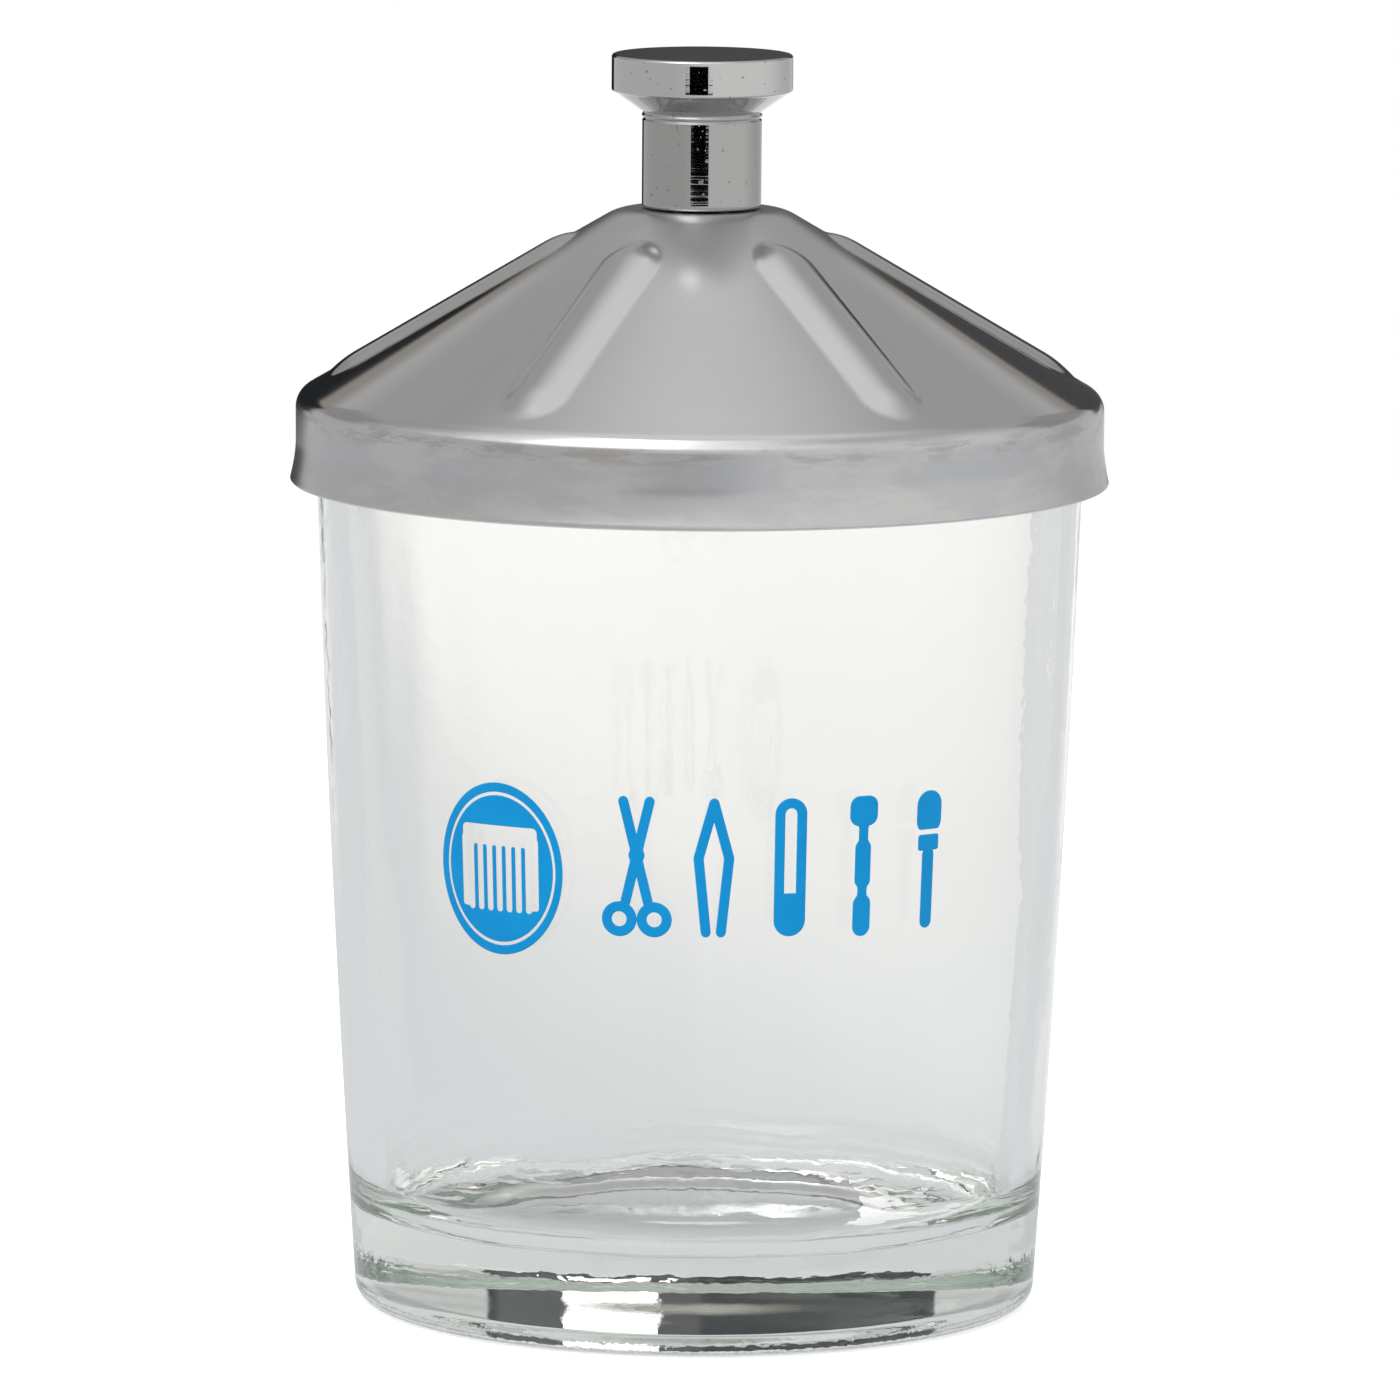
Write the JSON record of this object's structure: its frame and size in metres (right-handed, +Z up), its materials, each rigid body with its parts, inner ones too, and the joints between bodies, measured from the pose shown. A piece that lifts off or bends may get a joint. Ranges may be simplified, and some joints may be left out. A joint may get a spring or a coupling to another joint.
{
  "type": "disinfectant jar",
  "caption": "Small clear glass jar with a loose ribbed steel lid and a chromed knob, for standing manicure tools in disinfectant.",
  "frame": {"origin": "centre of the jar's foot, on the surface it stands on", "axes": "+Z up through the knob, -Y towards the printed front, +X to the right of the front"},
  "size_m": [0.0824, 0.0824, 0.1263],
  "materials": {
    "clear_glass": "clear pressed glass, slightly wavy inside, faint grey-green tint",
    "lid_steel": "satin stainless steel with smudges and fine scratches",
    "knob_chrome": "polished chrome plate with fine turning lines and small pits",
    "fastener_steel": "plain zinc-grey steel",
    "print_ink": "opaque blue screen-printed ink"
  },
  "bodies": {
    "jar": {"glass_jar": "clear_glass"},
    "lid_lifter": {"knob_washer": "fastener_steel"},
    "lid": {"lid_shell": "lid_steel", "lid_knob": "knob_chrome", "lock_washer": "fastener_steel", "knob_screw": "fastener_steel"}
  },
  "joints": [
    {"name": "lid_lift", "type": "slide", "parent": "jar", "child": "lid_lifter", "axis": [0, 0, 1], "range_m": [0, 0.09]},
    {"name": "lid_turn", "type": "hinge", "parent": "lid_lifter", "child": "lid", "pos_m": [0, 0, 0.1108], "axis": [0, 0, 1], "continuous": true}
  ]
}
